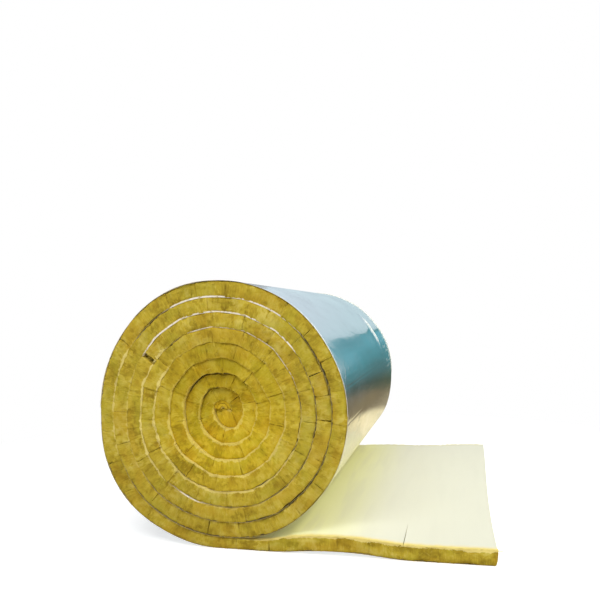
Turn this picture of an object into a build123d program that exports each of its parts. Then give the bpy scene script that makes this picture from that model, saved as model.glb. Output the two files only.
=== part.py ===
from build123d import *

import os
from dataclasses import dataclass
from math import atan, cos, pi, sin

# A lamella mat wound into a roll that lies on its side, with the free end unrolled on the floor.
# Strips of mineral wool, the lamellas, stand side by side on a foil facing, which is outside in the roll.
# Millimetres, +Z up, the roll's axis along Y, the free end towards +X.
# The origin is on the floor, at the middle of the area that the part covers.

# The mat
mat_width = 1000.0
mat_thickness = 30.0
foil_thickness = 0.3
lamella_width = 70.0
end_lamella_width = 25.0  # the lamella that the free end was cut through
joint_gap = 1.0

# The roll
bore_radius = 4.0
turn_gap = 1.0
wound_half_turns = 16
outer_slack = 18.0  # the outermost turn hangs loose at its foot, away from the free end

# The free end, with the shallow hump that the stiff mat keeps where it leaves the roll
tail_length = 530.0
flat_under_roll = 60.0
hump_length = 330.0
hump_height = 9.0

half_turn = pi
quarter_turn = pi / 2
towards_roll = pi  # heading of the free end, along -X


@dataclass
class Run:
    """A straight or round stretch of the mat's course, taken along the foil's outer face.

    Headings and turns are in radians. The wool is on the right-hand side, and a negative turn
    bends the mat to that side, so that the foil is on the outside of the bend.
    """

    begin: float
    length: float
    x: float
    z: float
    heading: float
    turn: float

    @property
    def end(self):
        return self.begin + self.length

    def point(self, distance, depth):
        """The point at a distance along the course and a depth under the foil's outer face."""
        along = distance - self.begin
        if self.turn == 0:
            x = self.x + along * cos(self.heading)
            z = self.z + along * sin(self.heading)
            return Vector(x + depth * sin(self.heading), 0, z - depth * cos(self.heading))
        radius = self.length / self.turn
        heading = self.heading + along / radius
        centre_x = self.x - radius * sin(self.heading)
        centre_z = self.z + radius * cos(self.heading)
        offset = radius + depth
        return Vector(centre_x + offset * sin(heading), 0, centre_z - offset * cos(heading))

    def edge(self, begin, end, depth):
        """The run's own line between two distances, at one depth."""
        first = self.point(begin, depth)
        last = self.point(end, depth)
        if self.turn == 0:
            return Edge.make_line(first, last)
        return Edge.make_three_point_arc(first, self.point((begin + end) / 2, depth), last)


def winding_radius(half_turns):
    """Radius of the foil's outer face after so many half turns, counted outwards from the bore."""
    winding_pitch = mat_thickness + turn_gap
    return bore_radius + mat_thickness + half_turns * winding_pitch / 2


def hump_bends():
    """Length and turn of the hump's rise, crest and fall, which are arcs of one radius."""
    turn = 2 * atan(2 * hump_height / hump_length)
    arc = turn * hump_length / (4 * sin(turn))
    return [(arc, -turn), (2 * arc, 2 * turn), (arc, -turn)]


def roll_bends():
    """Length and turn of the winding, from the floor inwards.

    After the loose quarter at the foot come half circles that shrink by half a pitch each.
    """
    foot_radius = winding_radius(wound_half_turns) - outer_slack
    bends = [(foot_radius * quarter_turn, -quarter_turn), (outer_slack, 0)]
    for half_turns in reversed(range(wound_half_turns)):
        bends.append((winding_radius(half_turns) * half_turn, -half_turn))
    return bends


def mat_course():
    """The runs of the whole mat, from its free end to the bore."""
    flat_end = tail_length - hump_length - flat_under_roll
    bends = [(flat_end, 0), *hump_bends(), (flat_under_roll + outer_slack, 0), *roll_bends()]
    begin = 0
    place = Vector((tail_length + winding_radius(wound_half_turns)) / 2, 0, 0)
    heading = towards_roll
    runs = []
    for length, turn in bends:
        run = Run(begin, length, place.X, place.Z, heading, turn)
        runs.append(run)
        begin = run.end
        place = run.point(run.end, 0)
        heading += turn
    return runs


def strip(runs, begin, end, outer_depth, inner_depth):
    """One solid across the mat's width, between two distances along the course and two depths."""
    knots = [begin, *[run.end for run in runs if begin < run.end < end], end]
    outer = []
    inner = []
    for first, last in zip(knots, knots[1:]):
        middle = (first + last) / 2
        run = next(run for run in runs if middle < run.end)
        outer.append(run.edge(first, last, outer_depth))
        inner.append(run.edge(first, last, inner_depth))
    free_end = Edge.make_line(outer[0] @ 0, inner[0] @ 0)
    wound_end = Edge.make_line(outer[-1] @ 1, inner[-1] @ 1)
    section = Face(Wire([*outer, wound_end, *inner, free_end]))
    return extrude(section, mat_width / 2, dir=(0, 1, 0), both=True)


def foil_facing(runs):
    """The facing, one sheet from the free end to the bore."""
    return strip(runs, 0, runs[-1].end, 0, foil_thickness)


def wool_lamellas(runs):
    """The wool strips, each bonded to the facing and parted from the next by a narrow joint."""
    mat_length = runs[-1].end
    whole_length = mat_length - end_lamella_width
    count = round(whole_length / lamella_width)
    joints = [end_lamella_width + whole_length * number / count for number in range(count)]
    begins = [0, *[joint + joint_gap / 2 for joint in joints]]
    ends = [*[joint - joint_gap / 2 for joint in joints], mat_length]
    return [strip(runs, begin, end, foil_thickness, mat_thickness) for begin, end in zip(begins, ends)]


runs = mat_course()
lamellas = wool_lamellas(runs)
os.makedirs("parts", exist_ok=True)
export_step(foil_facing(runs), "parts/foil_facing.step")
export_step(Compound(children=lamellas), "parts/wool_lamellas.step")
print("mat length", round(runs[-1].end), "mm in", len(lamellas), "lamellas")
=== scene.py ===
"""Insulation roll: a foil-faced lamella mat, made flat as in the works and then wound along its line."""

from math import atan, ceil, cos, pi, radians, sin, tan

import bpy
import numpy as np
from bpy.props import FloatProperty, FloatVectorProperty, IntProperty, PointerProperty
from mathutils import Matrix, Vector


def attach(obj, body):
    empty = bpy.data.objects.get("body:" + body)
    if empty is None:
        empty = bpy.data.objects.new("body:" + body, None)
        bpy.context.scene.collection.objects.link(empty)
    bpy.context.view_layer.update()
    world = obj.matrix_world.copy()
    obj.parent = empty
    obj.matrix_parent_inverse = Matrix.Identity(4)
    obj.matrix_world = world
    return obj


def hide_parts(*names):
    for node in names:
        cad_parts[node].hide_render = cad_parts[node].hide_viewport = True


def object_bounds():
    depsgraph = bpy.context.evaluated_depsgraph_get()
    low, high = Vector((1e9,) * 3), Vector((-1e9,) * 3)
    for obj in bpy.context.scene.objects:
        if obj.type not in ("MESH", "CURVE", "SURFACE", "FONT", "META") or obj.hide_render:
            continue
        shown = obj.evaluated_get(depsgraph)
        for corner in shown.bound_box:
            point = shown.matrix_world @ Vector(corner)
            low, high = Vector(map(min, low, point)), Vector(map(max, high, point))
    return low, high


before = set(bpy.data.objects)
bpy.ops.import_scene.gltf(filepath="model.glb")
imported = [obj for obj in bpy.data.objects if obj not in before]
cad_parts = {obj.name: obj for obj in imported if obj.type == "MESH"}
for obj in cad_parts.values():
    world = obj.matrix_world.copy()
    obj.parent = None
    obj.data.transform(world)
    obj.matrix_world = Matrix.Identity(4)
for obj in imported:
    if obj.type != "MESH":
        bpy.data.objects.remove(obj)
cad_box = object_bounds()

bl_info = {
    "name": "Insulation Roll",
    "version": (1, 0, 0),
    "blender": (4, 5, 0),
    "location": "3D View > Sidebar > Insulation Roll",
    "description": "Makes the wool, the frayed edges and the foil facing of a wound lamella mat",
    "category": "Object",
}

BODY = "root"
LAID_FLAT = "laid_flat"
FRINGE = "fringe"
WHITE = 1.0, 1.0, 1.0
cad_low, cad_high = cad_box


def length_prop(name, description, default):
    return FloatProperty(name=name, description=description, default=default, unit="LENGTH", precision=4)


def angle_prop(name, description, degrees):
    return FloatProperty(name=name, description=description, default=radians(degrees), subtype="ANGLE")


def share_prop(name, description, default):
    return FloatProperty(name=name, description=description, default=default, min=0.0, max=1.0)


def count_prop(name, description, default, least):
    return IntProperty(name=name, description=description, default=default, min=least)


def colour_prop(name, description, default):
    return FloatVectorProperty(name=name, description=description, default=default, subtype="COLOR",
                               size=3, min=0.0, max=1.0)


class MatSizes(bpy.types.PropertyGroup):
    """The mat and the line it is wound along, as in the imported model."""

    width: length_prop("Width", "Length of the roll between its cut ends", cad_high[1] - cad_low[1])
    thickness: length_prop("Thickness", "Wool and foil together", 0.030)
    foil: length_prop("Foil", "Thickness of the facing", 0.0003)
    lamella: length_prop("Lamella", "Width of one wool strip along the mat", 0.070)
    end_lamella: length_prop("End lamella", "Rest of the strip that the free end was cut through", 0.025)
    joint: length_prop("Joint", "Gap between two wool strips", 0.001)
    bore: length_prop("Bore radius", "Inner radius of the first half turn", 0.004)
    turn_gap: length_prop("Turn gap", "Room between two turns", 0.001)
    half_turns: count_prop("Half turns", "Half circles in the winding", 16, 2)
    slack: length_prop("Slack", "How far the outermost turn hangs loose at its foot", 0.018)
    tail: length_prop("Free end", "Length unrolled on the floor", 0.530)
    flat_under: length_prop("Flat under roll", "Stretch that lies flat beside the foot", 0.060)
    hump_length: length_prop("Hump length", "Stretch of the free end that arches up", 0.330)
    hump_height: length_prop("Hump height", "Height of that arch", 0.009)
    set_back: length_prop("Set back", "How far the innermost turn is pushed in behind the outer ones", 0.033)
    sag: length_prop("Sag", "How far the turns sink under their own weight at the sides of the roll", 0.005)
    sag_spread: length_prop("Sag spread", "How much more they sink at its bottom, and less at its top", 0.002)
    step_back: length_prop("Step back", "How far the lowest turns lie behind the ones above them", 0.008)
    curl: length_prop("Curl", "How far the far corner of the free end is lifted", 0.013)
    skew: length_prop("Skew", "How much longer the free end is at its far corner", 0.010)
    bow: length_prop("Bow", "How far the cut of the free end is drawn in between its corners", 0.006)
    worn: length_prop("Worn", "How far the lower corners of the free end are worn back", 0.006)
    core: length_prop("Core", "Radius that the loose wool leaves open in the bore", 0.001)
    facet: length_prop("Facet", "Most that the middle of a strip may lie inside the round winding", 0.0035)


class WoolLooks(bpy.types.PropertyGroup):
    """Colours and raggedness of the wool."""

    cut: colour_prop("Cut wool", "Cut ends, most of them", (0.510, 0.377, 0.036))
    cut_dark: colour_prop("Shaded wool", "Hollows and dense patches of the cut ends", (0.300, 0.205, 0.017))
    cut_light: colour_prop("Bright wool", "Loose fibres on the cut ends", (0.620, 0.500, 0.100))
    cut_warm: colour_prop("Warm wool", "Browner patches of the cut ends", (0.480, 0.290, 0.024))
    cut_green: colour_prop("Green wool", "Greener patches of the cut ends", (0.400, 0.350, 0.030))
    cut_inside: colour_prop("Inner wool", "Tint of the inner turns, less bleached", (1.0, 0.95, 0.50))
    face: colour_prop("Face", "Side that lies inside the roll", (0.718, 0.720, 0.592))
    # Painted light: near the roll the face is painted brighter and yellower, standing in for light thrown
    # back by the wool and foil into the roll's shade.
    face_painted_light: colour_prop("Face near the roll", "The same side, less bleached", (0.915, 0.940, 0.530))
    fringe: colour_prop("Fringe", "Edge between that side and the cut ends", (0.800, 0.660, 0.220))
    fray: length_prop("Fray", "Depth of the torn relief on the cut ends", 0.0035)
    strands: count_prop("Strands", "Loose fibre tufts on each cut end", 8000, 0)


class FoilLooks(bpy.types.PropertyGroup):
    """Finish of the foil facing."""

    colour: colour_prop("Foil", "Bare aluminium foil", (0.740, 0.780, 0.800))
    edge: colour_prop("Foil edge", "Glue and paper at the cut edge that folds over", (0.930, 0.860, 0.720))
    edge_dull: colour_prop("Sunk foil edge", "The same edge between fibres", (0.560, 0.440, 0.170))
    # Worn matt foil, used also as painted highlights on the rims, the crease and the crinkles.
    scuff_and_glint: colour_prop("Scuffed foil", "Foil worn matt along rims and creases", (0.940, 0.915, 0.810))
    foot: colour_prop("Foil foot", "Foil above the free end, lit yellow by the wool", (1.00, 0.90, 0.60))
    glance: colour_prop("Foil at a glance", "Tint of the foil seen at a low angle", (0.90, 0.92, 0.93))
    proud: length_prop("Proud", "How far the foil stands out of the cut ends", 0.0018)
    lip: length_prop("Lip", "How far that edge folds over the wool", 0.0030)
    fold: length_prop("Fold", "Place across the mat of a crease around the outermost turn", 0.275)
    fold_width: length_prop("Fold width", "Half the width of that crease", 0.024)
    fold_height: length_prop("Fold height", "Height of that crease", 0.0060)
    flare: length_prop("Flare", "How far the rims of the outermost turn stand out", 0.0022)
    crease: length_prop("Crease", "Depth of the creases", 0.0003)
    roughness: share_prop("Roughness", "Blur of its reflections", 0.15)


class StageLooks(bpy.types.PropertyGroup):
    """Camera and studio."""

    lens: FloatProperty(name="Lens", description="Focal length in mm on a 36 mm sensor", default=41.48)
    eye: FloatVectorProperty(name="Eye", description="Camera position", default=(0.3402, -1.8452, 0.4735),
                             subtype="TRANSLATION", unit="LENGTH")
    yaw: angle_prop("Yaw", "Turn to the left of +Y", 12.763)
    rise: angle_prop("Rise", "Tilt upwards", 1.293)
    roll: angle_prop("Roll", "Turn about the line of sight", -0.975)
    floor: colour_prop("Floor", "Pale studio floor", (0.75, 0.75, 0.75))
    lift: share_prop("Lift", "White added to the floor where it is seen", 0.48)
    card: colour_prop("Card", "Blue-green card that the foil mirrors", (0.110, 0.335, 0.370))
    card_sky: colour_prop("Card sky", "Pale blue above it", (0.630, 0.800, 0.845))
    card_high: colour_prop("Card high", "Paler still, at the top", (0.780, 0.860, 0.940))
    card_light: colour_prop("Card top", "Upper part of the card", (0.200, 0.530, 0.620))
    card_dark: colour_prop("Card middle", "Dark band of the card", (0.085, 0.118, 0.095))
    card_low: colour_prop("Card below", "Brown band of the card", (0.225, 0.190, 0.130))
    card_foot: colour_prop("Card foot", "Pale foot of the card", (1.000, 0.900, 0.620))


# How this roll differs from an even one

STIFFNESS_SEED, STRIP_SEED, TUFT_SEED = 3, 7, 11  # for what is left to chance
OUTER_TURN = 9  # from this half turn on, the turns are parted by a groove
# Angle about the roll's axis in degrees, and how far the soft roll bulges there at its near and far end
DENTS = ((28, -0.003, -0.003), (118, 0.003, 0.003), (168, -0.002, -0.002), (216, 0.0055, 0.0055),
         (-2, 0.0, -0.007))
DENT_SPREAD = 32  # half the width of each, in degrees
# Angle in degrees, half the width in degrees and the height of bulges of the turns inside the outermost one
BULGES = ((235, 38, 0.005), (292, 26, 0.004))
# Joints that stand open, counted from the free end, and how wide they are at the foil and at the pale face
OPEN_JOINTS = {2: (0.0022, 0.0016), 6: (0.0010, 0.0010), 7: (0.0008, 0.0008), 46: (0.0030, 0.0030),
               48: (0.0030, 0.0020), 59: (0.0110, 0.0110)}
# Joints of uneven strips, counted likewise, and how much nearer to the bore they lie than even ones would
UNEVEN_JOINTS = {1: 0.008, 2: 0.012, 3: 0.008, 45: 0.013, 46: 0.025, 47: 0.004, 48: -0.013, 58: 0.013,
                 59: 0.027, 60: 0.013}
# Half turn, degrees from and to which its foil's edge shows as a pale line, and how strongly
PALE_LINES = ((13, 42, 118, 1.0), (13, 140, 180, 0.6), (11, 35, 145, 1.0), (9, 20, 115, 0.7),
              (10, 236, 256, 0.7))
# The same for dark gaps beside the foil, for wool that closes over it, and for its fold and flared rims
DARK_GAPS = ((13, 4, 40, 1.0), (13, 122, 136, 0.8), (12, 226, 260, 0.5), (12, 285, 335, 1.0),
             (14, 212, 300, 0.8), (3, 30, 150, 0.7), (1, 35, 150, 0.6))
CLOSED = ((11, 150, 180, 0.3), (12, 180, 215, 0.3), (13, 145, 180, 0.8), (14, 180, 200, 0.6),
          (9, 135, 180, 0.9), (10, 180, 225, 0.9), (7, 140, 180, 0.8), (8, 180, 215, 0.8))
FOLD = ((15, 20, 46, 1.0),)
FLARE = ((15, 2, 120, 1.0),)
FADE = 8  # degrees to both sides of such a stretch's ends over which it fades
# Lengths of the free end, from its cut, over which it is lifted, skewed and bowed
LIFTED, SKEWED, BOWED = 0.30, 0.20, 0.12
BACK_IN_LINE = 0.25  # so far past the roll's foot, the free end no longer lies back
CUT_BAND, FRAYED = 0.014, 0.004  # depths of the bands by each cut end that are frayed somewhat and fully
CORNER = 0.06  # width of the free end's worn corners
WORN_UP_TO = 0.014  # height up to which the wool of its cut is worn
FOOT = 0.2  # length of the mat before the roll's foot over which the dents fade out
STRIP_SPREAD = 0.0010  # how far the ends of the strips stand in or out, as a rule
# Share of the other joints that stand open a little, and from how wide to how wide
SLIGHT_GAPS, SLIGHT_WIDTHS = 0.07, (0.0003, 0.0008)
# Distances from the cut ends within which joints stand open, in the roll and in the free end, and wide open
OPEN_IN_ROLL, OPEN_IN_TAIL, WIDE_OPEN = 0.06, 0.20, 0.01
BENT = 0.010  # width of the wool beside an open joint that bends away from it
GROOVE = 0.0016  # depth of the groove between two turns at the cut ends
EDGE, EDGE_BAND = 0.0008, 0.005  # depths of the turns' edges that are moved fully and somewhat for it
GAP = 0.0014  # how far wool stands off the foil in a dark gap, or bulges over it where there is no groove


def share_on(stretches, turn, angle):
    """The strength of the stretches that such a list names, fading to 0 past their ends."""
    share = np.zeros(len(turn))
    degrees = np.degrees(angle)
    for half_turn, first, last, strength in stretches:
        begun, ended = (smooth_step(degrees, limit - FADE, limit + FADE) for limit in (first, last))
        share = np.where(turn == half_turn, np.maximum(share, strength * (begun - ended)), share)
    return share


# The mat's course

def winding_radius(mat, half_turns):
    """Radius of the foil's outer face after so many half turns, counted outwards from the bore."""
    return mat.bore + mat.thickness + half_turns * (mat.thickness + mat.turn_gap) / 2


def outer_radius(mat):
    """Radius of the whole roll, and height of its axis."""
    return winding_radius(mat, mat.half_turns)


def foot_radius(mat):
    """Radius of the loose quarter turn at the roll's foot."""
    return outer_radius(mat) - mat.slack


def mat_course(mat):
    """Lengths and turns of the mat from its free end to the bore, none of them over a quarter turn."""
    quarter = pi / 2
    turn = 2 * atan(2 * mat.hump_height / mat.hump_length)
    arc = turn * mat.hump_length / (4 * sin(turn))
    runs = [(mat.tail - mat.hump_length - mat.flat_under, 0.0), (arc, -turn), (2 * arc, 2 * turn),
            (arc, -turn), (mat.flat_under + mat.slack, 0.0), (foot_radius(mat) * quarter, -quarter),
            (mat.slack, 0.0)]
    for half_turns in reversed(range(mat.half_turns)):
        runs += 2 * [(winding_radius(mat, half_turns) * quarter, -quarter)]
    return runs


def mat_length(mat):
    return sum(length for length, turn in mat_course(mat))


def turn_starts(mat):
    """Where along the mat each half turn starts, counted from the bore, and where the last one ends."""
    return np.append(0, np.cumsum(winding_radius(mat, np.arange(mat.half_turns)) * pi))


def foot_end(mat):
    """Where along the mat the winding meets the floor."""
    return turn_starts(mat)[-1] + mat.slack + foot_radius(mat) * pi / 2


def turns_and_angles(mat, along):
    """Half turn that each place on the mat is in, and its angle about the roll's axis from +X upwards."""
    starts = turn_starts(mat)
    turn = np.clip(np.searchsorted(starts, along, side="right") - 1, 0, mat.half_turns)
    radius = np.append(winding_radius(mat, np.arange(mat.half_turns)), foot_radius(mat))
    sweep = (along - starts[turn]) / radius[turn]
    return turn, sweep + np.where(turn % 2 == 0, pi, 0)


def fringe_share(mat, along):
    """How pale the wool's inner edge is: most along the free end, and below the axis, where it faces up to
    the light, so that this paleness is partly painted light.
    """
    turn, angle = turns_and_angles(mat, along)
    below = 0.5 - 0.5 * np.sin(angle)
    wound = (0.05 + 0.75 * below) * (1 - 0.75 * smooth_step(turn, OUTER_TURN, OUTER_TURN + 4))
    free = 0.15 + 0.85 * smooth_step(along, foot_end(mat) + 0.03, foot_end(mat) + 0.15)
    return np.where(along > foot_end(mat), free, np.maximum(wound, share_on(CLOSED, turn - 2, angle)))


def strip_pitch(mat):
    """How many whole strips the mat has, and the length along it that each one takes."""
    whole = mat_length(mat) - mat.end_lamella
    count = round(whole / mat.lamella)
    return count, whole / count


def flatness(mat, along):
    """How far inside the round winding the foil lies there, as the stiff strips stay nearly straight."""
    count, pitch = strip_pitch(mat)
    turn = turns_and_angles(mat, along)[0]
    strip = np.clip(along // pitch, 0, count).astype(int)
    stiff = np.random.default_rng(STIFFNESS_SEED).uniform(0.15, 0.75, count + 1)[strip]
    to_middle = along - (strip + 0.5) * pitch
    chord = np.clip((pitch / 2) ** 2 - to_middle ** 2, 0, None) / (2 * winding_radius(mat, turn))
    return np.clip(chord, 0, mat.facet * 2) * stiff * (1 - smooth_step(turn, OUTER_TURN + 2, OUTER_TURN + 5))


def flatten_strips(points, mat):
    """Gives each turn the nearly straight strips, and the wool the outline of the turn that it lies on."""
    along, depth = points[:, 0], np.clip(points[:, 2] / mat.thickness, 0, 1)
    starts = turn_starts(mat)
    turn = turns_and_angles(mat, along)[0]
    below = np.clip(turn - 2, 0, None)
    under = starts[below] + (along - starts[turn]) * winding_radius(mat, below) / winding_radius(mat, turn)
    inner = np.where(turn < 2, 0, flatness(mat, under))
    points[:, 2] += (1 - depth) * flatness(mat, along) + depth * inner


def stepped(mat, along):
    """How far the lowest turns lie back: 1 for the outermost one, half for the last but one, 0 above."""
    turn, angle = turns_and_angles(mat, along)
    below = np.clip(-np.sin(np.clip(angle, pi, 2 * pi)), 0, 1)
    below = np.where(turn >= mat.half_turns - 2, below, 0)
    past = smooth_step(along, foot_end(mat), foot_end(mat) + BACK_IN_LINE)
    return np.where(along > foot_end(mat), 1 - past, np.where(turn == mat.half_turns, below, below / 2))


def loose_room(mat, along):
    """Room that the wool swells into where the outermost turn hangs loose."""
    starts = turn_starts(mat)
    sweep = np.clip((along - starts[-1] - mat.slack) / foot_radius(mat), 0, pi / 2)
    inner = foot_radius(mat) - mat.thickness
    reach = np.hypot(mat.slack + inner * np.cos(sweep), mat.slack + inner * np.sin(sweep))
    in_foot = (along > starts[-1]) & (sweep < pi / 2)
    return in_foot * np.clip(reach - winding_radius(mat, mat.half_turns - 2) - mat.turn_gap, 0, None)


def winding_line(mat):
    """A flat curve along the foil's outer face, from the bore to the free end, standing in the XZ plane."""
    x, z, heading = (mat.tail + outer_radius(mat)) / 2, 0.0, pi
    if abs(x - cad_high[0]) > mat.thickness:
        raise RuntimeError("the mat's sizes don't fit the packed model")
    knots = [[x, z, heading, 0.0, 0.0]]
    for length, turn in mat_course(mat):
        if turn:
            radius = length / turn
            handle = abs(radius) * tan(abs(turn) / 4) * 4 / 3
            centre_x, centre_z = x - radius * sin(heading), z + radius * cos(heading)
            heading += turn
            x, z = centre_x + radius * sin(heading), centre_z - radius * cos(heading)
        else:
            handle = length / 3
            x, z = x + length * cos(heading), z + length * sin(heading)
        knots[-1][4] = handle
        knots.append([x, z, heading, handle, 0.0])
    curve = bpy.data.curves.new("winding_line", "CURVE")
    curve.dimensions = "2D"
    curve.resolution_u = 64
    spline = curve.splines.new("BEZIER")
    spline.bezier_points.add(len(knots) - 1)
    for point, (x, z, heading, back, ahead) in zip(spline.bezier_points, reversed(knots)):
        point.handle_left_type = point.handle_right_type = "FREE"
        point.co = x, z, 0
        point.handle_left = x + ahead * cos(heading), z + ahead * sin(heading), 0
        point.handle_right = x - back * cos(heading), z - back * sin(heading), 0
    line = bpy.data.objects.new("winding_line", curve)
    bpy.context.collection.objects.link(line)
    line.rotation_euler = pi / 2, 0, 0
    return line


# Tools for the pieces

def only(piece):
    """Makes a piece the only one selected, and the active one."""
    bpy.ops.object.select_all(action="DESELECT")
    piece.select_set(True)
    bpy.context.view_layer.objects.active = piece


def join(pieces):
    """Makes one piece of several, in the first one's name."""
    only(pieces[0])
    for piece in pieces[1:]:
        piece.select_set(True)
    bpy.ops.object.join()
    return pieces[0]


def add_shape(add, scale=None, **settings):
    """Adds something with one of Blender's operators, alone selected, and applies its scale if it has one."""
    bpy.ops.object.select_all(action="DESELECT")
    add(**settings)
    shape = bpy.context.object
    if scale is not None:
        shape.scale = scale
        bpy.ops.object.transform_apply(location=True, rotation=True, scale=True)
    return shape


def points_of(piece):
    """The piece's points as rows of x, y and z."""
    flat = np.empty(len(piece.data.vertices) * 3, np.float32)
    piece.data.vertices.foreach_get("co", flat)
    return flat.reshape(-1, 3)


def move_points(piece, points):
    piece.data.vertices.foreach_set("co", np.asarray(points, np.float32).ravel())
    piece.data.update()


def keep_flat_places(piece, mat, places=None, pale=None):
    """Stores where each point lies on the flat mat, and how pale its fringe is, for the materials."""
    places = points_of(piece) if places is None else np.asarray(places, np.float32)
    pale = fringe_share(mat, places[:, 0]) if pale is None else pale
    kept = piece.data.attributes.new(LAID_FLAT, "FLOAT_VECTOR", "POINT")
    kept.data.foreach_set("vector", places.ravel())
    kept = piece.data.attributes.new(FRINGE, "FLOAT", "POINT")
    kept.data.foreach_set("value", pale.astype(np.float32))


def weigh(piece, name, weights):
    """A vertex group of that name, with one weight for each point."""
    group = piece.vertex_groups.new(name=name)
    steps = 20
    levels = np.rint(np.clip(weights, 0, 1) * steps).astype(int)
    for level in range(1, steps + 1):
        group.add(np.flatnonzero(levels == level).tolist(), level / steps, "REPLACE")
    return name


def smooth_step(values, low, high):
    share = np.clip((values - low) / (high - low), 0, 1)
    return share * share * (3 - 2 * share)


def rounded(off):
    """1 at 0, falling like a wave's crest to 0 at -1 and 1."""
    return np.cos(np.clip(off, -1, 1) * pi / 2) ** 2


def by_ends(mat, across, begin, full=0.0):
    """Rises from 0 to 1 towards both cut ends, between two distances from them."""
    return smooth_step(np.abs(across), mat.width / 2 - begin, mat.width / 2 - full)


def far_share(mat, across):
    """0 at the roll's near end and 1 at its far end."""
    return np.clip(across / mat.width + 0.5, 0, 1)


def apply_modifier(piece, kind, **settings):
    only(piece)
    modifier = piece.modifiers.new(kind.lower(), kind)
    for name, value in settings.items():
        setattr(modifier, name, value)
    bpy.ops.object.modifier_apply(modifier=modifier.name)


def roughen(piece, size, depth, group="", direction="NORMAL", mid=0.5, stretch=None, octaves=1):
    """Displaces a piece by cloud noise of that size, all over or in a vertex group, stretched or even."""
    clouds = bpy.data.textures.new("relief", "CLOUDS")
    clouds.noise_scale = size if stretch is None else 1.0
    clouds.noise_depth = octaves
    settings = dict(texture=clouds, strength=depth, mid_level=mid, direction=direction, vertex_group=group)
    if direction == "RGB_TO_XYZ":
        clouds.cloud_type = "COLOR"
    if stretch is not None:
        grain = add_shape(bpy.ops.object.empty_add)
        grain.scale = [size * share for share in stretch]
        bpy.context.view_layer.update()
        settings.update(texture_coords="OBJECT", texture_coords_object=grain)
    apply_modifier(piece, "DISPLACE", **settings)
    if stretch is not None:
        bpy.data.objects.remove(grain)
    bpy.data.textures.remove(clouds)


def about_axis(points, mat):
    """Distance from the roll's axis, as a share of the outermost turn's, and angle about it."""
    x = points[:, 0] - cad_low[0] - outer_radius(mat)
    z = points[:, 2] - outer_radius(mat)
    return np.hypot(x, z) / winding_radius(mat, mat.half_turns - 1), np.arctan2(z, x)


def degrees_off(angle, middle):
    """Degrees from an angle, the shorter way round."""
    return (np.degrees(angle) - middle + 180) % 360 - 180


def settle(points, mat):
    """Lets the turns sink inside the outermost one, which is pressed thin under them."""
    outside = winding_radius(mat, mat.half_turns - 1)
    share, angle = about_axis(points, mat)
    low = 0.5 - 0.5 * np.sin(angle)
    loosened = smooth_step(share, 0.15 - 0.13 * low, 0.40 - 0.28 * low)
    layer = mat.thickness / outside
    edge = 1 - layer + (outer_radius(mat) / outside - 1) * low
    free = loosened * np.clip(1 - (share - edge) / layer, 0, 1)
    bulge = sum(height * rounded(degrees_off(angle, middle) / spread) for middle, spread, height in BULGES)
    bulge *= free * share ** 2
    points[:, 0] += bulge * np.cos(angle)
    points[:, 2] += bulge * np.sin(angle) - free * (mat.sag - mat.sag_spread * np.sin(angle))


def dent(points, mat, wound):
    """Presses the round outline in and out, as a soft roll's."""
    share, angle = about_axis(points, mat)
    far = far_share(mat, points[:, 1])
    push = 0
    for middle, near_depth, far_depth in DENTS:
        depth = near_depth + (far_depth - near_depth) * far
        push = push + depth * rounded(degrees_off(angle, middle) / DENT_SPREAD)
    push *= wound * np.clip(share, 0, 1) ** 2
    points[:, 0] += push * np.cos(angle)
    points[:, 2] += push * np.sin(angle)


def far_lift(points, mat):
    """How much higher the far side of the free end lies: less arched, and lifted at its corner."""
    along, length = points[:, 0], mat_length(mat)
    far = far_share(mat, points[:, 1]) ** 1.5
    hump = np.clip((along - foot_end(mat) - mat.flat_under) / mat.hump_length, 0, 1)
    lifted = mat.curl * smooth_step(along, length - LIFTED, length)
    return far * (lifted - mat.hump_height / 2 * np.sin(pi * hump) ** 2)


def wind(piece, mat):
    """Winds a flat piece into the roll, with the slight unevenness of a soft roll above the floor."""
    points = points_of(piece)
    length = mat_length(mat)
    far = far_share(mat, points[:, 1])
    points[:, 0] += mat.skew * far * smooth_step(points[:, 0], length - SKEWED, length)
    at_end = smooth_step(points[:, 0], length - BOWED, length)
    points[:, 0] -= mat.bow * at_end * (1 - far) ** 2 * far * 27 / 4
    turn, angle = turns_and_angles(mat, points[:, 0])
    flatten_strips(points, mat)
    turned = turn + angle % pi / pi
    near = 1 - 0.7 * far
    points[:, 1] += mat.set_back * near * np.clip(1 - turned / OUTER_TURN, 0, None) ** 1.5
    points[:, 1] += mat.step_back * near * stepped(mat, points[:, 0])
    move_points(piece, points)
    line = winding_line(mat)
    bpy.context.view_layer.update()
    apply_modifier(piece, "CURVE", object=line, deform_axis="POS_X")
    bpy.data.curves.remove(line.data)
    wound = 1 - smooth_step(points[:, 0], foot_end(mat) - FOOT, foot_end(mat))
    lift = far_lift(points, mat)
    points = points_of(piece)
    settle(points, mat)
    dent(points, mat, wound)
    points[:, 2] += lift
    move_points(piece, points)
    aloft = weigh(piece, "aloft", smooth_step(points[:, 2], 2 * mat.thickness, 6 * mat.thickness))
    roughen(piece, size=0.15, depth=0.004, group=aloft, direction="RGB_TO_XYZ", stretch=(1, 12, 1))
    piece.vertex_groups.clear()


def finish_piece(piece, name, material, smooth_angle):
    only(piece)
    piece.name = piece.data.name = name
    bpy.ops.object.shade_smooth_by_angle(angle=smooth_angle)
    piece.data.materials.clear()
    piece.data.materials.append(material)
    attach(piece, BODY)


def cut_across(axis, places):
    """Cuts all of the piece that is in edit mode by planes square to an axis."""
    normal = [0, 0, 0]
    normal[axis] = 1
    for place in places:
        bpy.ops.mesh.select_all(action="SELECT")
        bpy.ops.mesh.bisect(plane_co=[place * share for share in normal], plane_no=normal)


def both_ends(mat, insets):
    """Places across the mat at these distances from its two cut ends."""
    return [side * (mat.width / 2 - inset) for inset in insets for side in (-1, 1)]


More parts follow.
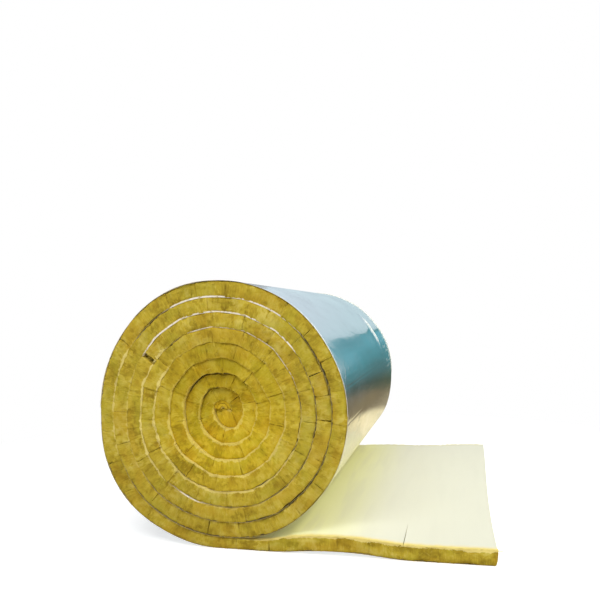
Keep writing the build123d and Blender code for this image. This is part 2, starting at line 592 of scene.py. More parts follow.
def select_edges(piece, test):
    """Selects the edges whose two ends pass a test, in edit mode."""
    bpy.ops.mesh.select_all(action="DESELECT")
    bpy.ops.object.mode_set(mode="OBJECT")
    points = piece.data.vertices
    for edge in piece.data.edges:
        edge.select = test(points[edge.vertices[0]].co, points[edge.vertices[1]].co)
    bpy.ops.object.mode_set(mode="EDIT")
    bpy.ops.mesh.select_mode(type="EDGE")


# Materials

def opaque(colour):
    return (*colour, 1.0)


def darker(colour, share):
    return [part * share for part in colour]


def sign(operation):
    """A sign of sums, which adds the node that works it out."""
    return lambda first, second=0.0: first.nodes.maths(operation, first, second)


class Output:
    """What a node puts out, and the signs that sums of such outputs are written with."""

    def __init__(self, nodes, socket):
        self.nodes = nodes
        self.socket = socket

    def __rsub__(self, other):
        return self.nodes.maths("SUBTRACT", other, self)

    __add__ = __radd__ = sign("ADD")
    __sub__ = sign("SUBTRACT")
    __mul__ = sign("MULTIPLY")
    __truediv__ = sign("DIVIDE")
    __abs__ = sign("ABSOLUTE")


class Nodes:
    """Adds nodes to a material or a world, with values and links given by socket name or number."""

    def __init__(self, owner):
        owner.use_nodes = True
        self.tree = owner.node_tree
        self.tree.nodes.clear()

    def put(self, socket, value):
        """Links what another node puts out, or sets a plain value."""
        if isinstance(value, Output):
            self.tree.links.new(value.socket, socket)
        else:
            socket.default_value = value

    def add(self, kind, inputs=None, **settings):
        node = self.tree.nodes.new("ShaderNode" + kind)
        for name, value in settings.items():
            setattr(node, name, value)
        for name, value in (inputs or {}).items():
            self.put(node.inputs[name], value)
        return node

    def out(self, kind, inputs=None, output=0, **settings):
        """Adds a node and gives one of its outputs, by name or number."""
        return Output(self, self.add(kind, inputs, **settings).outputs[output])

    def maths(self, operation, first, second=0.0):
        return self.out("Math", {0: first, 1: second}, operation=operation)

    def vector(self, operation, first, second=(0, 0, 0), output="Vector"):
        return self.out("VectorMath", {0: first, 1: second}, output, operation=operation)

    def parts(self, vector):
        """The x, y and z of a vector."""
        return [Output(self, socket) for socket in self.add("SeparateXYZ", {0: vector}).outputs]

    def most(self, first, *others):
        """The largest of some values."""
        for other in others:
            first = self.maths("MAXIMUM", first, other)
        return first

    def between(self, value, low, high):
        """Rises smoothly from 0 to 1 between two values."""
        return self.out("MapRange", {"Value": value, "From Min": low, "From Max": high},
                        interpolation_type="SMOOTHSTEP")

    def spread(self, value, low, high, at_low, at_high):
        """Runs evenly from one value to another while the given one goes from low to high."""
        return self.out("MapRange", {"Value": value, "From Min": low, "From Max": high,
                                     "To Min": at_low, "To Max": at_high})

    def mix(self, share, first, second, blend="MIX"):
        """A colour between two, by a share, or the first one blended with the second."""
        node = self.add("Mix", data_type="RGBA", blend_type=blend)
        self.put(node.inputs[0], share)
        for socket, colour in zip(node.inputs[6:8], (first, second)):
            self.put(socket, colour if isinstance(colour, Output) else opaque(colour))
        return Output(self, node.outputs[2])

    def ramp(self, value, steps):
        """A colour for each value, from steps of position and colour."""
        node = self.add("ValToRGB", {0: value})
        elements = node.color_ramp.elements
        while len(elements) < len(steps):
            elements.new(0.5)
        for element, (position, colour) in zip(elements, steps):
            element.position = position
            element.color = opaque(colour)
        return Output(self, node.outputs[0])

    def noise(self, place, scales, detail=2.0, rough=0.5):
        """Noise with its own scale along, across and through the mat."""
        return self.out("TexNoise", {"Vector": self.vector("MULTIPLY", place, scales), "Scale": 1.0,
                                     "Detail": detail, "Roughness": rough}, "Fac")

    def bump(self, height, distance, strength=1.0, over=None):
        """Relief that is so high where the height is 1, over other relief or none."""
        inputs = {"Height": height, "Distance": distance, "Strength": strength}
        return self.out("Bump", inputs if over is None else {**inputs, "Normal": over})

    def seen(self):
        """1 where the eye or a mirror meets the surface, and 0 for the light that it gives off."""
        path = self.add("LightPath").outputs
        rays = "Is Camera Ray", "Is Glossy Ray", "Is Transmission Ray"
        return self.most(*[Output(self, path[ray]) for ray in rays])

    def laid_flat(self):
        """A point's place on the flat mat, and how pale its fringe is."""
        return (self.out("Attribute", output="Vector", attribute_name=LAID_FLAT),
                self.out("Attribute", output="Fac", attribute_name=FRINGE))


def new_material(name):
    """An empty material, and what adds its nodes."""
    material = bpy.data.materials.new(name)
    return material, Nodes(material)


def shared_material(name, make, *values):
    """A material that several pieces use, made once."""
    return bpy.data.materials.get(name) or make(*values)


def inner_wool(nodes, mat, looks, inside, fringe, colour):
    """Tints the wool of the inner turns, with painted light below the axis and painted shade towards the
    upper left, as on the walls of the hollow core.
    """
    colour = nodes.mix(inside, colour, looks.cut_inside, blend="MULTIPLY")
    axis = cad_low[0] + outer_radius(mat), 0, outer_radius(mat)
    upper_left = radians(150)
    direction = cos(upper_left), 0, sin(upper_left)
    from_axis = nodes.vector("SUBTRACT", nodes.out("TexCoord", output="Object"), axis)
    leftwards = nodes.vector("DOT_PRODUCT", from_axis, direction, output="Value")
    # Painted light on the inner turns below the axis, where the hollow's walls face up, and painted shade on
    # those towards the upper left.
    lower = inside * nodes.between(fringe, 0.2, 0.7)
    painted_shade_upper_left = inside * nodes.between(leftwards, -0.01, 0.045)
    return nodes.out("HueSaturation", {"Value": 1.0 + lower * 0.24 - painted_shade_upper_left * 0.15, "Color": colour})


def cut_wool(nodes, mat, looks, place, along, mottle, clumps, streaks):
    """Olive wool where it is cut: patchy strip by strip, browner and greener in places, and pitted, with
    painted shade in the pits.
    """
    blocks = nodes.vector("ADD", nodes.vector("MULTIPLY", place, (52, 0, 58)), clumps * 2.2)
    patches = nodes.out("TexVoronoi", {"Vector": blocks, "Scale": 1.0, "Randomness": 1.0}, "Color")
    patch = nodes.out("SeparateColor", {0: patches})
    number = nodes.maths("FLOOR", along / mat.lamella)
    strip = nodes.out("TexWhiteNoise", {"W": number}, "Value", noise_dimensions="1D")
    tone = mottle * 0.42 + clumps * 0.25 + streaks * 0.18 + patch * 0.08 + strip * 0.07
    unrolled = nodes.between(along, foot_end(mat) - 0.05, foot_end(mat) + 0.05)
    tone = tone + (nodes.noise(place, (34, 0, 60)) - 0.54) * 0.50 * unrolled
    colour = nodes.ramp(tone, ((0.37, looks.cut_dark), (0.50, looks.cut), (0.63, looks.cut_light)))
    hue = nodes.noise(place, (16, 5, 25))
    warm, green = nodes.between(hue, 0.52, 0.66), nodes.between(hue, 0.48, 0.34)
    # Painted shade: the pits are darkened with the shaded wool colour.
    pits = nodes.between(nodes.noise(place, (150, 30, 190)), 0.66, 0.74)
    for share, tint in ((warm, looks.cut_warm), (green, looks.cut_green), (pits, looks.cut_dark)):
        colour = nodes.mix(share * 0.35, colour, tint)
    return colour


def pale_wool(nodes, mat, looks, place, along, across, brink):
    """The pale face: painted light near the roll, brighter and yellower there, a painted shadow in the nip,
    striped, and yellow along its brinks.
    """
    length, half = mat_length(mat), mat.width / 2
    # Painted light near the roll, and a painted shadow in the nip.
    painted_light_near_roll = nodes.between(along, length - 0.20, length - 0.42)
    painted_nip_shadow = nodes.between(along, length - 0.380, length - 0.412)
    stripes = nodes.between(nodes.noise(place, (34, 3, 0)), 0.45, 0.7)
    yellow = nodes.between(brink, -0.024, -0.002) * nodes.spread(across, half, -half, 0.25, 1.0)
    colour = nodes.mix(painted_light_near_roll, looks.face, looks.face_painted_light)
    colour = nodes.mix(painted_nip_shadow * 0.8, colour, darker(looks.face_painted_light, 0.70))
    colour = nodes.mix(stripes * 0.25, colour, darker(looks.face, 0.93))
    return nodes.mix(yellow, colour, looks.fringe)


def wool_material(mat, looks):
    """Matt wool: olive, mottled and streaked through its thickness where it is cut, pale on its face."""
    material, nodes = new_material("mineral_wool")
    place, fringe = nodes.laid_flat()
    along, across, depth = nodes.parts(place)
    mottle = nodes.noise(place, (30, 8, 30), detail=3)
    clumps = nodes.noise(place, (105, 40, 105))
    streaks = nodes.noise(place, (430, 60, 60))
    fuzz = nodes.noise(place, (900, 900, 900))
    past_end = abs(across) - mat.width / 2
    at_end = nodes.between(past_end, -CUT_BAND, -0.003)
    loose = nodes.between(past_end, 0.0004, 0.0025)
    inside = nodes.between(along, turn_starts(mat)[OUTER_TURN + 2], turn_starts(mat)[4])
    ragged = (mottle * 0.6 + clumps * 0.4 - 0.5) * 0.020
    reach = ragged * at_end + fringe * at_end * 0.0025
    on_face = nodes.between(depth + reach, mat.thickness - 0.0020, mat.thickness - 0.0006)
    on_face = on_face * (1.0 - at_end + at_end * fringe)
    cut = cut_wool(nodes, mat, looks, place, along, mottle, clumps, streaks)
    cut = inner_wool(nodes, mat, looks, inside, fringe, cut)
    cut = nodes.mix(loose * 0.7, cut, looks.cut_light)
    face = pale_wool(nodes, mat, looks, place, along, across, past_end + ragged)
    face = nodes.mix(inside * 0.7, face, looks.cut_inside, blend="MULTIPLY")
    relief = nodes.mix(on_face, streaks * 0.7 + clumps, fuzz)
    shader = nodes.out("BsdfPrincipled", {
        "Base Color": nodes.mix(on_face, cut, face), "Roughness": 1.0, "Specular IOR Level": 0.05,
        "Sheen Weight": 0.03, "Normal": nodes.bump(relief, 0.002, 0.6)})
    nodes.add("OutputMaterial", {"Surface": shader})
    return material


def scuff_and_glint_share(nodes, mat, looks, place, rise, across):
    """Where the outermost turn's foil is painted pale and matt, partly wear and partly painted highlights:
    rims, one crease and crinkles by the far rim.
    """
    half = mat.width / 2
    middle, reach = 33, 15  # where the crease is widest, and how far it runs to both sides, in degrees
    wrinkles = nodes.noise(place, (140, 14, 0))
    off = abs(rise - middle) / reach
    narrowed = off * off * looks.fold_width + (wrinkles - 0.5) * (looks.fold_width * 0.4)
    crease = nodes.between(abs(across - looks.fold) + narrowed, looks.fold_width, looks.fold_width * 0.3)
    rims = nodes.between(abs(across), half - CUT_BAND, half - 0.006)
    rims = rims * nodes.between(rise, -2, 30) * nodes.between(wrinkles, 0.25, 0.55)
    crinkles = nodes.between(nodes.noise(place, (90, 9, 0)), 0.55, 0.62)
    crinkles = crinkles * nodes.between(across, half - 0.18, half - 0.09)
    crinkles = crinkles * nodes.between(rise, 0, 6) * nodes.between(rise, 30, 18)
    return nodes.most(crease * 0.75, crinkles * 0.3, rims * 0.85)


def foil_material(mat, looks):
    """Bluish aluminium foil, finely creased, with a pale glued edge, painted highlights where it is worn
    matt, painted shade along its bends and a painted reflection of the wool at its foot.
    """
    material, nodes = new_material("aluminium_foil")
    place, fringe = nodes.laid_flat()
    along, across = nodes.parts(place)[:2]
    half = mat.width / 2
    edge = nodes.between(abs(across), half - 0.004, half - 0.002)
    degree = radians(winding_radius(mat, mat.half_turns - 1))
    rise = (along - turn_starts(mat)[-2]) / degree
    dull = nodes.noise(place, (14, 5, 5), detail=3)
    panes = nodes.vector("ADD", nodes.vector("MULTIPLY", place, (15, 9, 0)), dull * 2.0)
    to_bend = nodes.out("TexVoronoi", {"Vector": panes, "Scale": 1.0}, "Distance", feature="DISTANCE_TO_EDGE")
    bends = nodes.between(to_bend, 0.05, 0.0) * nodes.between(dull, 0.42, 0.60)
    # Matt wear and painted highlights on the outermost turn's foil.
    worn = scuff_and_glint_share(nodes, mat, looks, place, rise, across)
    tatter = nodes.noise(place, (120, 0, 0), detail=3) - 0.5
    pale = nodes.between(fringe + tatter, 0.0, 1.0)
    colour = nodes.mix(dull * 0.35, looks.colour, darker(looks.colour, 0.86))
    # Painted shade: the foil is darkened along its bends.
    colour = nodes.mix(bends * 0.14, colour, darker(looks.colour, 0.6))
    # Painted reflection: the foil's foot is tinted yellow as if mirroring the wool below, and made half matt
    # further down so that the tint shows.
    colour = nodes.mix(nodes.between(rise, 8, -4), colour, looks.foot)
    colour = nodes.mix(worn, colour, looks.scuff_and_glint)
    colour = nodes.mix(edge, colour, nodes.mix(pale, looks.edge_dull, looks.edge))
    waves, ripples = nodes.noise(place, (12, 5, 0), detail=1), nodes.noise(place, (48, 3, 0))
    strip = nodes.maths("FRACT", along / strip_pitch(mat)[1])
    joint = nodes.between(abs(strip - 0.5), 0.44, 0.5)
    creases = nodes.noise(place, (90, 40, 0), detail=3, rough=0.55)
    crumpled = 0.25 + nodes.between(abs(across), 0.36, 0.49)
    bump = None
    for height, distance, strength in ((waves, 0.0016, 1.0), (ripples, 0.0005, 1.0), (joint, -0.0004, 0.4),
                                       (bends, 0.0005, 0.5), (creases, 0.0006, crumpled)):
        bump = nodes.bump(height, distance, strength, over=bump)
    matt = nodes.most(edge * 0.8, worn, nodes.between(rise, -4, -28) * 0.5)
    rough = nodes.spread(dull, 0.3, 0.7, looks.roughness - 0.06, looks.roughness + 0.08)
    shader = nodes.out("BsdfPrincipled", {"Base Color": colour, "Metallic": 1.0 - matt, "Roughness": rough,
                                          "Normal": bump, "Specular Tint": opaque(looks.glance)})
    nodes.add("OutputMaterial", {"Surface": shader})
    return material


# Pieces

PRESSED = 0.0002  # the strips are pressed into each other by so much
ROUNDED = 0.0012  # rounding of their edges
LEVELS = 0.10, 0.22, 0.36, 0.5, 0.64, 0.78, 0.90  # shares of their height at which they are divided
# Cuts along a strip, and distances from the cut ends at which it is divided, in the roll and in the free end
WOUND_CUTS, WOUND_INSETS = 15, (0.012, 0.30)
TAIL_CUTS, TAIL_INSETS = 16, (0.012, 0.03, 0.06, 0.09, 0.12, 0.16, 0.20, 0.25, 0.30, 0.35, 0.40, 0.45, 0.5)
END_CUTS = 6  # cuts along the strip that the free end was cut through
WAD_CUTS, WAD_INSETS = 28, (0.012,)
# Shares of the bore's depth from and to which each wad of loose wool lies, and how far its ends stand back
WADS = ((0.0, 0.42, 0.003), (0.45, 0.80, 0.0005), (0.83, 1.0, 0.004))
WAD_PATTERN, WAD_SHIFT = 0.25, 0.009  # how the wool's pattern is drawn out on them, and shifted for each
TUFT_LENGTHS, TUFT_BREADTHS = (0.004, 0.013), (0.0004, 0.0014)
LONG_TUFTS, LONGER = 0.06, 2.2  # share of the tufts that are longer, and how many times
TUFT_DEPTH = 0.0012  # how deep under the pale face the tufts at the edges sit, as a rule
FOIL_STEP = 0.0045  # length of the foil's facets along the mat
FOIL_INSETS = 0.006, 0.010, 0.03  # distances from its ends at which it is divided, past its lip
RIM = 0.007  # width of its rims


def worn_end(mat, along, across):
    """How far the lower edge of the free end is worn back, most at its corners."""
    at_end = np.clip(1 - (mat_length(mat) - along) / (2 * mat.worn), 0, 1)
    return mat.worn * at_end ** 2 * (0.3 + 0.7 * by_ends(mat, across, CORNER, CORNER / 6))


def wool_block(mat, begin, length, cuts, insets):
    """One wool strip on the flat mat: a block with its ends and faces divided and its edges rounded."""
    bottom = 2 * mat.foil
    height = mat.thickness - bottom
    block = add_shape(bpy.ops.mesh.primitive_cube_add, scale=(length + PRESSED, mat.width, height), size=1,
                      location=(begin + length / 2, 0, bottom + height / 2))
    bpy.ops.object.mode_set(mode="EDIT")
    select_edges(block, lambda a, b: abs(a.x - b.x) > mat.joint)
    bpy.ops.mesh.bevel(offset=ROUNDED, segments=2, affect="EDGES")
    cut_across(0, [begin + length * number / cuts for number in range(1, cuts)])
    cut_across(1, both_ends(mat, insets))
    cut_across(2, [bottom + height * share for share in LEVELS])
    bpy.ops.object.mode_set(mode="OBJECT")
    return block


def at_joints(values, named):
    """Puts values for some joints, counted from the free end, into those for all joints from the bore on."""
    for number, value in named.items():
        values[len(values) - 2 - number] = value
    return values


def opened(mat, along, across):
    """Where joints and gaps stand open: by both ends of the roll, and by the near side of the free end."""
    unrolled = along > foot_end(mat)
    share = by_ends(mat, across, np.where(unrolled, OPEN_IN_TAIL, OPEN_IN_ROLL), WIDE_OPEN)
    return np.where(unrolled & (across > 0), 0, share)


def shift_strips(points, mat, strip):
    """Sets each strip a little in or out, makes some uneven and opens some joints."""
    chance = np.random.default_rng(STRIP_SEED)
    count, pitch = strip_pitch(mat)
    along, across, depth = points.T.copy()
    offsets = chance.normal(0, STRIP_SPREAD, (2, count + 1))
    few = np.where(chance.random(count + 2) < SLIGHT_GAPS, chance.uniform(*SLIGHT_WIDTHS, count + 2), 0)
    gape = at_joints(np.stack([few, few], axis=1), OPEN_JOINTS)
    uneven = at_joints(np.zeros(count + 2), UNEVEN_JOINTS)
    level = depth / mat.thickness
    before, after = (gape[joint, 0] * (1 - level) + gape[joint, 1] * level for joint in (strip, strip + 1))
    from_start = along - strip * pitch
    width = np.where(strip == count, mat.end_lamella, pitch)
    at_start, at_end = (np.clip(1 - off / BENT, 0, 1) for off in (from_start, width - from_start))
    points[:, 1] += offsets[(across > 0).astype(int), strip] * by_ends(mat, across, CUT_BAND, FRAYED)
    points[:, 0] -= uneven[strip] + (uneven[strip + 1] - uneven[strip]) * from_start / width
    points[:, 0] += opened(mat, along, across) * (at_start * before - at_end * after) / 2
    points[:, 0] -= worn_end(mat, along, across) * np.clip(1 - depth / WORN_UP_TO, 0, 1) ** 2


def repeat_along(piece, count, pitch):
    apply_modifier(piece, "ARRAY", count=count, use_relative_offset=False, use_constant_offset=True,
                   constant_offset_displace=(pitch, 0, 0))


class ROLL_OT_wool(bpy.types.Operator):
    """Lays the wool strips side by side, frays their cut ends and winds them"""

    bl_idname = "insulation_roll.wool"
    bl_label = "Wool Lamellas"

    def execute(self, context):
        mat, looks = context.scene.roll_mat, context.scene.roll_wool
        count, pitch = strip_pitch(mat)
        unrolled = ceil(mat.tail / pitch)
        wound = count - unrolled
        rows = ((0, wound, pitch, WOUND_CUTS, WOUND_INSETS),
                (wound, unrolled, pitch, TAIL_CUTS, TAIL_INSETS),
                (count, 1, mat.end_lamella, END_CUTS, TAIL_INSETS))
        pieces, strips = [], []
        for first, number, length, cuts, insets in rows:
            piece = wool_block(mat, pitch * first, length, cuts, insets)
            repeat_along(piece, number, pitch)
            pieces.append(piece)
            strips.append(first + np.repeat(np.arange(number), len(piece.data.vertices) // number))
        wads = self.bore_wads(mat)
        wool = join(pieces)
        self.fray(wool, mat, looks, np.concatenate(strips))
        join([wool, *wads])
        wind(wool, mat)
        material = shared_material("mineral_wool", wool_material, mat, looks)
        finish_piece(wool, "wool_mat", material, radians(60))
        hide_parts("wool_lamellas")
        return {"FINISHED"}

    def bore_wads(self, mat):
        """Layers of loose wool that close the bore, laid under the second half turn."""
        begin, end = turn_starts(mat)[1:3]
        room = winding_radius(mat, 1) - mat.thickness - mat.core
        wads = []
        for number, (low, high, inset) in enumerate(WADS):
            wad = wool_block(mat, begin, end - begin - mat.joint, WAD_CUTS, WAD_INSETS)
            points = points_of(wad)
            points[:, 2] = mat.thickness + room * (low + (high - low) * points[:, 2] / mat.thickness)
            points[:, 1] -= np.sign(points[:, 1]) * inset
            move_points(wad, points)
            places = points * (WAD_PATTERN, 1, 1) + (0, 0, -mat.thickness + WAD_SHIFT * number)
            keep_flat_places(wad, mat, places)
            ends = weigh(wad, "cut_ends", by_ends(mat, points[:, 1], CUT_BAND, 0.006))
            roughen(wad, size=0.02, depth=0.003, group=ends, direction="Y", octaves=2)
            wad.vertex_groups.clear()
            wads.append(wad)
        return wads

    def fray(self, wool, mat, looks, strip):
        """Shifts the strips, parts the turns at the cut ends and roughens those ends and the pale face."""
        keep_flat_places(wool, mat)
        points = points_of(wool)
        along, across, depth = points.T.copy()
        shift_strips(points, mat, strip)
        turn, angle = turns_and_angles(mat, along)
        by_foil = depth < mat.thickness / 2
        line = np.where(by_foil, turn, turn - 2)
        ends = by_ends(mat, across, CUT_BAND, FRAYED)
        at_edge = 1 - smooth_step(np.minimum(depth, mat.thickness - depth), EDGE, EDGE_BAND)
        closed = np.clip(4 * share_on(CLOSED, line, angle), 0, 1)
        parted = smooth_step(line, OUTER_TURN - 3, OUTER_TURN) * (1 - closed)
        gaps = share_on(DARK_GAPS, line, angle)
        inwards = GAP * (gaps - (1 - parted) * (1 - gaps)) * np.where(by_foil, 1.0, -1.0)
        points[:, 1] -= np.sign(across) * ends * at_edge * parted * GROOVE
        points[:, 2] += opened(mat, along, across) * at_edge * inwards
        points[:, 2] *= 1 + loose_room(mat, along) / mat.thickness
        move_points(wool, points)
        cut_ends = weigh(wool, "cut_ends", ends)
        roughen(wool, size=0.030, depth=looks.fray, group=cut_ends, octaves=2)
        roughen(wool, size=0.009, depth=looks.fray * 0.8, group=cut_ends, octaves=2)
        roughen(wool, size=0.03, depth=looks.fray * 0.5, group=cut_ends, stretch=(0.12, 1, 1))
        edges = weigh(wool, "turn_edges", ends * at_edge * (1 - 0.7 * parted))
        roughen(wool, size=0.011, depth=0.003, group=edges, direction="Z", octaves=2)
        face = weigh(wool, "face", smooth_step(depth, mat.thickness - 0.004, mat.thickness) * (1 - ends))
        roughen(wool, size=0.035, depth=0.0016, group=face, direction="Z", mid=1.0, octaves=2)
        bare = (turn >= mat.half_turns - 1) | ((turn == mat.half_turns - 2) & (angle > 1.5 * pi))
        points = points_of(wool)
        points[bare, 2] = np.maximum(points[bare, 2], 2 * mat.foil)
        move_points(wool, points)


class ROLL_OT_strands(bpy.types.Operator):
    """Scatters loose tufts of fibre over the cut ends and along the edges of the pale face"""

    bl_idname = "insulation_roll.strands"
    bl_label = "Loose Strands"

    def execute(self, context):
        mat, looks = context.scene.roll_mat, context.scene.roll_wool
        points, faces = self.scatter(mat, looks, *self.tuft())
        mesh = bpy.data.meshes.new("wool_strands")
        mesh.from_pydata(points.tolist(), [], faces.tolist())
        strands = bpy.data.objects.new("wool_strands", mesh)
        context.collection.objects.link(strands)
        keep_flat_places(strands, mat)
        swollen = points_of(strands)
        swollen[:, 2] *= 1 + loose_room(mat, swollen[:, 0]) / mat.thickness
        move_points(strands, swollen)
        wind(strands, mat)
        material = shared_material("mineral_wool", wool_material, mat, looks)
        finish_piece(strands, "wool_strands", material, radians(60))
        return {"FINISHED"}

    def tuft(self):
        """Points and faces of one tuft, 1 long and 1 wide: a tongue that narrows and bends up to its tip."""
        tuft = add_shape(bpy.ops.mesh.primitive_plane_add, size=1)
        widest, narrower = -0.2, 0.15
        bpy.ops.object.mode_set(mode="EDIT")
        cut_across(0, [widest, narrower])
        bpy.ops.object.mode_set(mode="OBJECT")
        shape = points_of(tuft)
        shape[:, 1] *= np.interp(shape[:, 0], [-0.5, widest, narrower, 0.5], [0.5, 1.0, 0.8, 0.06])
        shape[:, 2] = 0.35 * (shape[:, 0] + 0.5) ** 2
        shape[:, 0] += 0.5
        faces = np.array([list(face.vertices) for face in tuft.data.polygons])
        bpy.data.objects.remove(tuft)
        return shape, faces

    def scatter(self, mat, looks, shape, faces):
        """Copies of the tuft, turned and sized by chance, half of them at the edges of the turns."""
        chance = np.random.default_rng(TUFT_SEED)
        count = 2 * looks.strands
        numbers = np.arange(count)
        side = np.where(numbers % 2 == 0, -1.0, 1.0)
        at_edge = numbers >= count // 2
        shallow, deep = 0.002, mat.thickness - 0.001
        along = chance.uniform(0.004, mat_length(mat) - 0.004, count)
        depth = np.where(at_edge, mat.thickness - chance.exponential(TUFT_DEPTH, count),
                         chance.uniform(shallow, deep, count))
        bare = chance.random(count) > fringe_share(mat, along)
        depth = np.where(at_edge & bare, chance.uniform(shallow, deep, count), depth)
        heading = chance.normal(0, 0.5, count) + pi * chance.integers(0, 2, count)
        heading += np.where(at_edge, 0, pi / 2)
        length = chance.uniform(*TUFT_LENGTHS, count)
        length *= np.where(chance.random(count) < LONG_TUFTS, LONGER, 1.0)
        breadth = chance.uniform(*TUFT_BREADTHS, count)
        lift = chance.uniform(0.0, 0.4, count)
        ahead, aside, above = shape.T[:, :, None]
        x, y = ahead * length, aside * breadth
        across = side * (mat.width / 2 + 0.0002 + above * length * lift * 2)
        x, z = x * np.cos(heading) - y * np.sin(heading), x * np.sin(heading) + y * np.cos(heading)
        points = np.stack([along + x, across, np.clip(depth + z, 2 * mat.foil, mat.thickness + 0.0008)])
        all_faces = faces + (numbers * len(shape))[:, None, None]
        return points.transpose(2, 1, 0).reshape(-1, 3), all_faces.reshape(-1, faces.shape[1])


class ROLL_OT_foil(bpy.types.Operator):
    """Makes the creased foil facing that the wool is glued to, and winds it"""

    bl_idname = "insulation_roll.foil"
    bl_label = "Foil Facing"

    def execute(self, context):
        mat, looks = context.scene.roll_mat, context.scene.roll_foil
        foil = self.sheet(mat, looks)
        self.crumple(foil, mat, looks)
        apply_modifier(foil, "SOLIDIFY", thickness=mat.foil * 1.5, offset=0)
        wind(foil, mat)
        material = shared_material("aluminium_foil", foil_material, mat, looks)
        finish_piece(foil, "foil_sheet", material, radians(50))
        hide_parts("foil_facing")
        return {"FINISHED"}

    def sheet(self, mat, looks):
        """The flat sheet, divided along the mat, by its rims and where it is folded."""
        length = mat_length(mat)
        foil = add_shape(bpy.ops.mesh.primitive_grid_add, scale=(length, mat.width, 1), size=1,
                         x_subdivisions=round(length / FOIL_STEP), y_subdivisions=6,
                         location=(length / 2, 0, mat.foil / 2))
        bpy.ops.object.mode_set(mode="EDIT")
        cut_across(1, both_ends(mat, (looks.lip, *FOIL_INSETS)))
        cut_across(1, [looks.fold + step / 4 * looks.fold_width for step in range(-4, 5)])
        bpy.ops.object.mode_set(mode="OBJECT")
        return foil

    def crumple(self, foil, mat, looks):
        """Draws the rims in or folds them over, wears the free end, raises the fold and creases it all."""
        points = points_of(foil)
        along, across = points[:, 0].copy(), points[:, 1].copy()
        turn, angle = turns_and_angles(mat, along)
        outermost = turn == mat.half_turns - 1
        rim = by_ends(mat, across, RIM)
        pale = share_on(PALE_LINES, turn, angle)
        flare = share_on(FLARE, turn, angle)
        keep_flat_places(foil, mat, pale=np.where(outermost, 1.5, pale))
        hidden = np.where(turn >= OUTER_TURN, looks.proud, 3 * looks.proud)
        hidden = np.where(outermost, -looks.proud * (0.3 + 0.9 * flare), hidden)
        brim = (np.abs(across) > mat.width / 2 - looks.lip / 2) * pale
        points[:, 1] += np.sign(across) * (rim * (pale * 2 * looks.proud - hidden) - brim * looks.lip * 0.8)
        points[:, 2] -= brim * looks.lip
        points[:, 0] -= worn_end(mat, along, points[:, 1])
        fold = rounded((points[:, 1] - looks.fold) / looks.fold_width)
        points[:, 2] -= looks.fold_height * fold * share_on(FOLD, turn, angle)
        points[:, 2] -= looks.flare * rim ** 2 * flare * np.where(points[:, 1] > 0, 1.0, 0.3)
        move_points(foil, points)
        frayed = weigh(foil, "rim", rim * (1 - 0.7 * flare))
        roughen(foil, size=0.012, depth=0.0014, group=frayed, direction="Y", octaves=2)
        roughen(foil, size=0.06, depth=looks.crease, mid=1.0)


# Stage

# Name, place, what it points at, size and power in watts
LAMPS = (("front_light", (-0.45, -2.5, 2.7), (0, 0, 0.25), (1.6, 1.3), 63),
         ("side_light", (3.2, -0.5, 2.0), (0.05, 0, 0.05), (2.2, 1.8), 88),
         ("top_light", (0.6, 0.6, 2.6), (0.25, 0.2, 0.1), (2.4, 2.4), 25))
# Grey that the foil mirrors where there is no card, from below upwards
MIRRORED_SKY = (0.0, (0.30, 0.32, 0.33)), (0.35, (0.62, 0.66, 0.68)), (0.75, (0.92, 0.95, 0.97))


def stage_floor(looks):
    """A wide pale floor that takes the shadow, and runs out into white."""
    floor = add_shape(bpy.ops.mesh.primitive_plane_add, scale=(40, 40, 1), size=1)
    floor.name = "studio_floor"
    material, nodes = new_material("studio_floor")
    away = nodes.vector("LENGTH", nodes.out("TexCoord", output="Object"), output="Value")
    seen = nodes.seen()
    matt = nodes.out("BsdfDiffuse", {"Color": opaque(looks.floor)})
    lift = nodes.out("Emission", {"Strength": seen * looks.lift})
    near = nodes.out("AddShader", {0: matt, 1: lift})
    white = nodes.out("Emission", {"Strength": 1.0})
    both = nodes.out("MixShader", {0: seen * nodes.between(away, 0.7, 1.5), 1: near, 2: white})
    nodes.add("OutputMaterial", {"Surface": both})
    floor.data.materials.append(material)


def stage_card(looks):
    """A standing card behind the roll that only the foil's reflections see."""
    card = add_shape(bpy.ops.mesh.primitive_plane_add, scale=(0.76, 1.3, 1), size=1,
                     location=(0.09, 0.535, 0.65), rotation=(pi / 2, 0, 0))
    card.name = "studio_card"
    card.visible_camera = card.visible_diffuse = card.visible_shadow = card.visible_transmission = False
    material, nodes = new_material("studio_card")
    place = nodes.out("TexCoord", output="Object")
    along, height = nodes.parts(place)[::2]
    clouds = nodes.noise(place, (7, 0, 11))
    bands = (0.20, looks.card_low), (0.25, looks.card_dark), (0.36, looks.card), (0.52, looks.card_light)
    colour = nodes.ramp(height, bands)
    colour = nodes.mix(nodes.between(height + along * 0.36, 0.158, 0.202), looks.card_foot, colour)
    colour = nodes.mix(nodes.between(clouds, 0.45, 0.68), colour, nodes.mix(0.40, colour, looks.card_dark))
    lighter = nodes.between(clouds, 0.50, 0.32) * nodes.between(height, 0.28, 0.40)
    colour = nodes.mix(lighter * 0.6, colour, looks.card_light)
    slope, (corner_x, corner_z) = 1.1, (0.113, 0.464)
    edge, level = height - along * slope, corner_z - slope * corner_x
    colour = nodes.mix(nodes.between(edge, level - 0.016, level - 0.010), colour, looks.card)
    sky = nodes.mix(nodes.between(height, 0.45, 0.85), looks.card_sky, looks.card_high)
    colour = nodes.mix(nodes.between(edge, level - 0.003, level + 0.003), colour, sky)
    beside = nodes.between(along, 0.33, 0.35) * nodes.between(height, 0.40, 0.44)
    glow = nodes.out("Emission", {"Color": nodes.mix(beside, colour, WHITE), "Strength": 1.0})
    nodes.add("OutputMaterial", {"Surface": glow})
    card.data.materials.append(material)


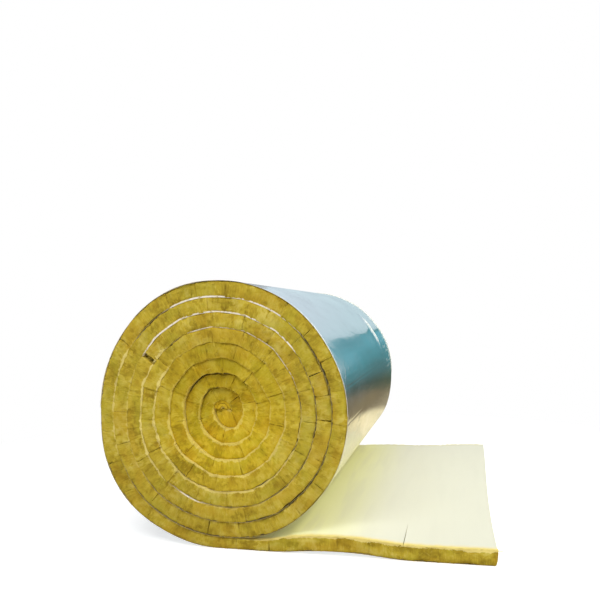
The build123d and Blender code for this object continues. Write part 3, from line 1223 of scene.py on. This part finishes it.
def stage_world():
    """White all round, dimmer as light, and grey in reflections."""
    world = bpy.data.worlds.new("studio")
    bpy.context.scene.world = world
    nodes = Nodes(world)
    upwards = nodes.parts(nodes.out("TexCoord", output="Generated"))[2]
    mirrored = nodes.ramp(nodes.between(upwards, -0.1, 0.8), MIRRORED_SKY)
    colour = nodes.mix(nodes.out("LightPath", output="Is Glossy Ray"), WHITE, mirrored)
    level = nodes.spread(nodes.seen(), 0.0, 1.0, 0.30, 1.0)
    nodes.add("OutputWorld", {"Surface": nodes.out("Background", {"Color": colour, "Strength": level})})


def stage_lamp(name, place, target, size, power):
    lamp = add_shape(bpy.ops.object.light_add, type="AREA", location=place)
    lamp.name = name
    lamp.data.shape = "RECTANGLE"
    lamp.data.size, lamp.data.size_y = size
    lamp.data.energy = power
    lamp.rotation_euler = (Vector(target) - lamp.location).to_track_quat("-Z", "Y").to_euler()
    lamp.visible_camera = lamp.visible_glossy = False


class ROLL_OT_stage(bpy.types.Operator):
    """Sets up the floor, the studio light and the camera"""

    bl_idname = "insulation_roll.stage"
    bl_label = "Stage"

    def execute(self, context):
        looks = context.scene.roll_stage
        stage_floor(looks)
        stage_card(looks)
        stage_world()
        for lamp in LAMPS:
            stage_lamp(*lamp)
        camera_data = bpy.data.cameras.new("photo_view")
        camera = bpy.data.objects.new("photo_view", camera_data)
        context.collection.objects.link(camera)
        camera_data.lens = looks.lens
        turn = (Matrix.Rotation(looks.yaw, 4, "Z") @ Matrix.Rotation(pi / 2 + looks.rise, 4, "X")
                @ Matrix.Rotation(looks.roll, 4, "Z"))
        camera.matrix_world = Matrix.Translation(looks.eye) @ turn
        context.scene.camera = camera
        context.scene.view_settings.view_transform = "Standard"
        return {"FINISHED"}


class ROLL_PT_panel(bpy.types.Panel):
    """Lists the roll's pieces and its stage"""

    bl_label = "Insulation Roll"
    bl_idname = "ROLL_PT_panel"
    bl_space_type = "VIEW_3D"
    bl_region_type = "UI"
    bl_category = "Insulation Roll"

    def draw(self, context):
        for group, operators in PANEL_ROWS:
            box = self.layout.box()
            settings = getattr(context.scene, group)
            for name in settings.__annotations__:
                box.prop(settings, name)
            for operator in operators:
                box.operator(operator.bl_idname)


GROUPS = {"roll_mat": MatSizes, "roll_wool": WoolLooks, "roll_foil": FoilLooks, "roll_stage": StageLooks}
OPERATORS = (ROLL_OT_wool, ROLL_OT_strands, ROLL_OT_foil, ROLL_OT_stage)
PANEL_ROWS = (("roll_mat", ()), ("roll_wool", (ROLL_OT_wool, ROLL_OT_strands)),
              ("roll_foil", (ROLL_OT_foil,)), ("roll_stage", (ROLL_OT_stage,)))


def register():
    for cls in (*GROUPS.values(), *OPERATORS, ROLL_PT_panel):
        bpy.utils.register_class(cls)
    for name, group in GROUPS.items():
        setattr(bpy.types.Scene, name, PointerProperty(type=group))


def unregister():
    for name in GROUPS:
        delattr(bpy.types.Scene, name)
    for cls in (ROLL_PT_panel, *reversed(OPERATORS), *reversed(GROUPS.values())):
        bpy.utils.unregister_class(cls)


def main():
    register()
    bpy.ops.insulation_roll.wool()
    bpy.ops.insulation_roll.strands()
    bpy.ops.insulation_roll.foil()
    bpy.ops.insulation_roll.stage()


if __name__ == "__main__":
    main()
